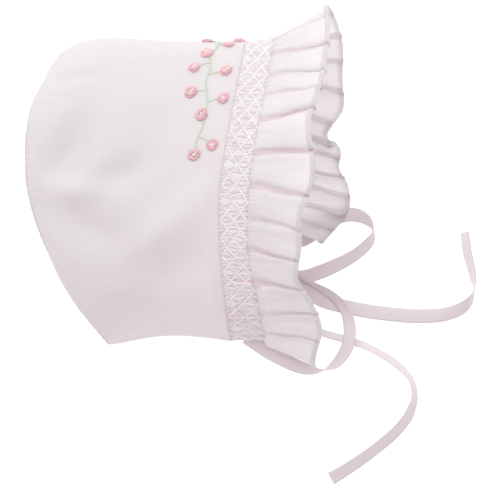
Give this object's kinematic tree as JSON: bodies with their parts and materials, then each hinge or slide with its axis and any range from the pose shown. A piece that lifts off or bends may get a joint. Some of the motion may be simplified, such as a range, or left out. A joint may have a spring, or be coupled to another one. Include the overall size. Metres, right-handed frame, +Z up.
{
  "type": "smocked baby bonnet",
  "caption": "Small gathered cotton bonnet with a smocked band, a fluted ruffle round the face and loose ribbon ties, lying on its side.",
  "frame": {"origin": "on the table under the middle of the bonnet's own box, without its ties", "axes": "+X from the back of the head to the face, +Y from the neck to the top of the head, +Z up from the table, through the wearer's right side"},
  "size_m": [0.226, 0.24, 0.0795],
  "materials": {
    "batiste": "matt, finely woven",
    "smocking": "matt, pleated",
    "satin": "soft satin sheen"
  },
  "bodies": {
    "root": {"crown": "batiste", "back_panel": "batiste", "smocked_band": "smocking", "ruffle": "batiste", "tie_near": "satin", "tie_far": "satin"}
  },
  "joints": []
}
